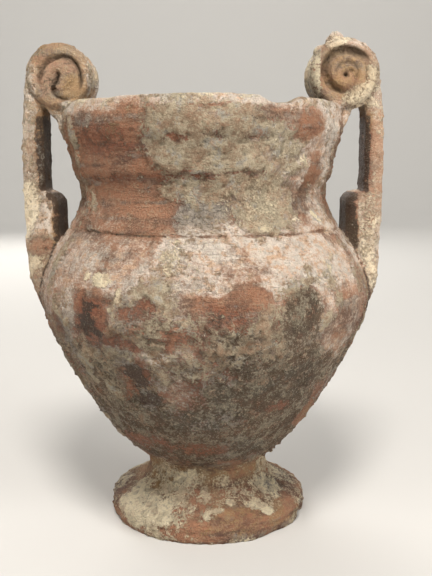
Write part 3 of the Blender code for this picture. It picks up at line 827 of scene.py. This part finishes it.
def stained(colour, seen):
    """Red slip worn through in places, ochre stains, black that is partly soot stains and partly painted
    shade, and a thin grey film.
    """
    slip = blend_to(RED_SLIP, RED_SLIP_DARK, step_between(seen.ragged_too, 0.45, 0.75))
    colour = blend_to(colour, slip, 0.80 * covers("red", seen.streaked, 0.13))
    worn_through = step_between(0.5 * seen.turning + 0.5 * seen.small, 0.55, 0.80)
    colour = blend_to(colour, FIRED_ORANGE, 0.65 * laid_on("red") * worn_through)
    colour = blend_to(colour, OCHRE_STAIN, 0.70 * covers("ochre", seen.ragged_too, 0.28))
    colour = blend_to(colour, SOOT_AND_SHADE, 0.88 * covers("black", 0.5 * seen.ragged + 0.5 * seen.streaked, 0.10))
    colour = blend_to(colour, GREY_FILM_DARK, 0.55 * laid_on("grey") * (1.0 - 0.5 * seen.large))
    film = blend_to(GREY_FILM, GREY_FILM_DARK, step_between(seen.small, 0.50, 0.85))
    return blend_to(colour, film, 0.78 * covers("grey", seen.ragged_too, 0.12))


def soil(seen):
    """Olive soil, paler where it is thin and reddened by the slip."""
    thin = 0.45 * seen.large_too + 0.30 * seen.medium_too + 0.25 * seen.small_too
    colour = blend_to(OLIVE_SOIL, OLIVE_SOIL_PALE, step_between(thin, 0.40, 0.72))
    reddened = step_between(0.6 * seen.medium + 0.4 * seen.small_too, 0.60, 0.85)
    return blend_to(colour, RED_SLIP, 0.45 * reddened)


def lime_veil(seen):
    """A smooth thin coat of lime, pinkish over the clay and grey in places."""
    pink = step_between(0.75 * seen.medium + 0.25 * seen.turning, 0.34, 0.84)
    colour = blend_to(LIME_VEIL, LIME_VEIL_PINK, pink)
    grey = step_between(0.6 * seen.large + 0.4 * seen.medium_too, 0.42, 0.22)
    colour = blend_to(colour, LIME_VEIL_GREY, 0.80 * grey)
    return blend_to(colour, FIRED_PALE, seen.crazing * 0.12)


def lumpy_crust(seen, pit):
    """Thick beige crust, grey and brown by turns, orange where clay shows, with its pits darkened as painted
    shade.
    """
    brown = step_between(0.5 * seen.large_too + 0.3 * seen.medium_too + 0.2 * seen.small_too, 0.42, 0.78)
    colour = blend_to(CRUST_BEIGE, CRUST_BROWN, 0.75 * brown)
    grey = step_between(0.6 * seen.large_too + 0.4 * seen.medium, 0.40, 0.20)
    colour = blend_to(colour, CRUST_GREY, 0.75 * grey)
    bared = step_between(0.7 * seen.large + 0.3 * seen.small, 0.60, 0.84)
    colour = blend_to(colour, FIRED_ORANGE, 0.42 * bared)
    # Painted shade: the pits are darkened.
    return blend_to(colour, CRUST_PIT_SHADE, pit * 0.42)


def flaky_lime(seen):
    """Cream flakes of lime, duller where they are rubbed."""
    colour = blend_to(CREAM_LIME, CRUST_BEIGE, 0.4 * step_between(seen.small, 0.5, 0.9))
    rubbed = step_between(0.6 * seen.large + 0.4 * seen.medium_too, 0.50, 0.80)
    return blend_to(colour, FIRED_PALE, 0.48 * rubbed)


def weathered_clay():
    material = bpy.data.materials.new("weathered_terracotta")
    material.use_nodes = True
    Field.tree = material.node_tree
    shader = material.node_tree.nodes["Principled BSDF"]
    shader.inputs["Specular IOR Level"].default_value = CLAY_SPECULAR
    seen = Patterns()
    handle = laid_on("handle")
    olive = covers("olive", seen.ragged, 0.13)
    veil = covers("bloom", 0.5 * seen.ragged_too + 0.5 * seen.ragged, 0.26)
    crust = covers("crust", seen.ragged, 0.14)
    cream = covers("cream", seen.ragged_too, 0.17)
    pit = step_between(0.4 * seen.tiny + 0.6 * seen.small_too, 0.62, 0.92)

    colour = stained(fired_clay(seen), seen)
    colour = blend_to(colour, soil(seen), 0.82 * olive)
    colour = blend_to(colour, LIME_VEIL_PINK, 0.55 * laid_on("bloom") * (1.0 - 0.5 * seen.ragged))
    colour = blend_to(colour, lime_veil(seen), 0.84 * veil)
    colour = blend_to(colour, lumpy_crust(seen, pit), crust * 0.92)
    colour = blend_to(colour, flaky_lime(seen), cream * (0.97 - 0.35 * handle))
    filmed = step_between(olive + veil + crust, 0.1, 0.9)
    specks = step_between(0.6 * seen.tiny + 0.4 * seen.small, 0.70, 0.86)
    colour = blend_to(colour, DARK_DIRT_AND_SHADE, specks * (0.16 + 0.24 * filmed))
    # Painted highlights: small pale glints over the fine grain, stronger where crust, lime and soil lie.
    painted_glints = step_between(0.5 * seen.small_too + 0.5 * seen.tiny, 0.64, 0.90)
    colour = blend_to(colour, CREAM_LIME, 0.34 * painted_glints * (0.42 + 0.58 * filmed))
    # Painted shade: the volutes' grooves are darkened.
    colour = blend_to(colour, DARK_DIRT_AND_SHADE, 0.64 * laid_on("groove"))
    # Painted shade: the hollows of the surface are darkened.
    colour = blend_to(colour, DARK_DIRT_AND_SHADE, step_between(laid_on("hollow"), 0.60, 1.0) * 0.30)
    Field.fill(shader.inputs["Base Color"], colour)

    covered = step_between(crust + cream + olive, 0.2, 1.0)
    worn_sheen = step_between(laid_on("red") + laid_on("bloom"), 0.5, 1.0) * (1.0 - covered)
    rough = 0.78 - 0.24 * worn_sheen + 0.12 * covered + 0.10 * (seen.small - 0.5)
    Field.fill(shader.inputs["Roughness"], rough)

    grainy = 0.34 * seen.small + 0.30 * seen.small_too + 0.22 * seen.medium + 0.30 * seen.tiny
    height = grainy * (1.0 + 0.55 * covered) * (1.0 - 0.45 * veil) * (1.0 - 0.5 * handle)
    height = height + 0.34 * (seen.turning * (1.0 - handle)) * (1.0 - covered) - 0.25 * (crust * pit)
    height = height - 0.12 * seen.crazing * veil + 0.80 * crust * seen.medium_too + 0.30 * cream
    settings = {"Strength": 1.0, "Distance": GRAIN_DEPTH * MM, "Height": height}
    Field.fill(shader.inputs["Normal"], Field.node("ShaderNodeBump", None, settings))
    return material


# ------------------------------------------------------------------ floor, light and camera
# Metres from here on.
ROOM_RADIUS = 2.5
ROOM_HEIGHT = 3.0
ROOM_FOLD = 0.8
PAPER = (0.60, 0.59, 0.57)
VASE_MIDDLE = (0.0, 0.0, 0.10)
# Lights on the vase: name, place, size, watts, colour.
LIGHTS = [
    ("high_front_light", (0.0, -0.50, 0.85), 0.24, 8.1, (1.0, 0.955, 0.90)),
    ("left_light", (-0.70, -0.45, 0.40), 0.4, 1.9, (1.0, 0.96, 0.91)),
    ("right_light", (0.68, -0.42, 0.34), 0.4, 4.1, (1.0, 0.97, 0.93)),
    ("rear_light", (-0.35, 1.10, 0.75), 0.7, 8.5, (1.0, 0.97, 0.93)),
]
# Lights on the wall: name, direction across and back, watts.
WALL_LIGHTS = [
    ("back_wall_light", 0.0, 1.0, 24.0),
    ("front_wall_light", 0.0, -1.0, 5.0),
    ("left_wall_light", -1.0, 0.0, 5.0),
    ("right_wall_light", 1.0, 0.0, 5.0),
]
WARM_WHITE = (1.0, 0.98, 0.95)
EYE = (0.0045, -0.325, 0.1393)
LOOKS_DOWN_DEGREES = 8.37
LENS_MM = 50.56
SENSOR_MM = 36.0


def surround():
    """A round pale floor that curves up into a plain wall on every side."""
    bm = bmesh.new()
    bmesh.ops.create_cone(bm, cap_ends=True, segments=96, radius1=ROOM_RADIUS, radius2=ROOM_RADIUS,
                          depth=ROOM_HEIGHT)
    bmesh.ops.translate(bm, vec=(0.0, 0.0, ROOM_HEIGHT / 2.0), verts=bm.verts)
    lid = [face for face in bm.faces if all(vert.co.z > ROOM_HEIGHT - 0.1 for vert in face.verts)]
    bmesh.ops.delete(bm, geom=lid, context="FACES_ONLY")
    fold = [edge for edge in bm.edges if all(vert.co.z < 0.1 for vert in edge.verts)]
    bmesh.ops.bevel(bm, geom=fold, offset=ROOM_FOLD, segments=14, profile=0.5, affect="EDGES", material=-1)
    bmesh.ops.recalc_face_normals(bm, faces=bm.faces)
    bmesh.ops.reverse_faces(bm, faces=bm.faces)
    mesh = bpy.data.meshes.new("studio_surround")
    bm.to_mesh(mesh)
    bm.free()
    mesh.shade_smooth()
    paper = bpy.data.materials.new("studio_paper")
    paper.use_nodes = True
    shader = paper.node_tree.nodes["Principled BSDF"]
    shader.inputs["Base Color"].default_value = (*PAPER, 1.0)
    shader.inputs["Roughness"].default_value = 0.9
    mesh.materials.append(paper)
    sheet = bpy.data.objects.new("studio_surround", mesh)
    bpy.context.scene.collection.objects.link(sheet)


def softbox(name, place, aim, size, watts, tint):
    light = bpy.data.lights.new(name, "AREA")
    light.shape = "DISK"
    light.size = size
    light.energy = watts
    light.color = tint
    item = bpy.data.objects.new(name, light)
    item.location = place
    item.rotation_euler = (Vector(aim) - Vector(place)).to_track_quat("-Z", "Y").to_euler()
    bpy.context.scene.collection.objects.link(item)


def studio():
    for name, place, size, watts, tint in LIGHTS:
        softbox(name, place, VASE_MIDDLE, size, watts, tint)
    for name, across, back, watts in WALL_LIGHTS:
        on_wall = (ROOM_RADIUS * across, ROOM_RADIUS * back, 0.6)
        softbox(name, (across, back, 1.75), on_wall, 0.9, watts, WARM_WHITE)
    world = bpy.data.worlds.new("studio")
    world.use_nodes = True
    background = world.node_tree.nodes["Background"]
    background.inputs["Color"].default_value = (*WARM_WHITE, 1.0)
    background.inputs["Strength"].default_value = 0.04
    bpy.context.scene.world = world
    bpy.context.scene.view_settings.view_transform = "Standard"


def camera():
    lens = bpy.data.cameras.new("camera")
    lens.sensor_width = SENSOR_MM
    lens.lens = LENS_MM
    lens.clip_start = 0.01
    item = bpy.data.objects.new("camera", lens)
    item.location = EYE
    item.rotation_euler = (math.radians(90.0 - LOOKS_DOWN_DEGREES), 0.0, 0.0)
    bpy.context.scene.collection.objects.link(item)
    bpy.context.scene.camera = item


def vase():
    piece = clay_copy(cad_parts["vase"])
    make_round(piece)
    soften(piece)
    weather(piece)
    thin_out(piece)
    mark_finishes(piece)
    piece.data.materials.clear()
    piece.data.materials.append(weathered_clay())
    piece.data.shade_smooth()
    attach(piece, "root")
    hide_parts("vase")


vase()
surround()
studio()
camera()
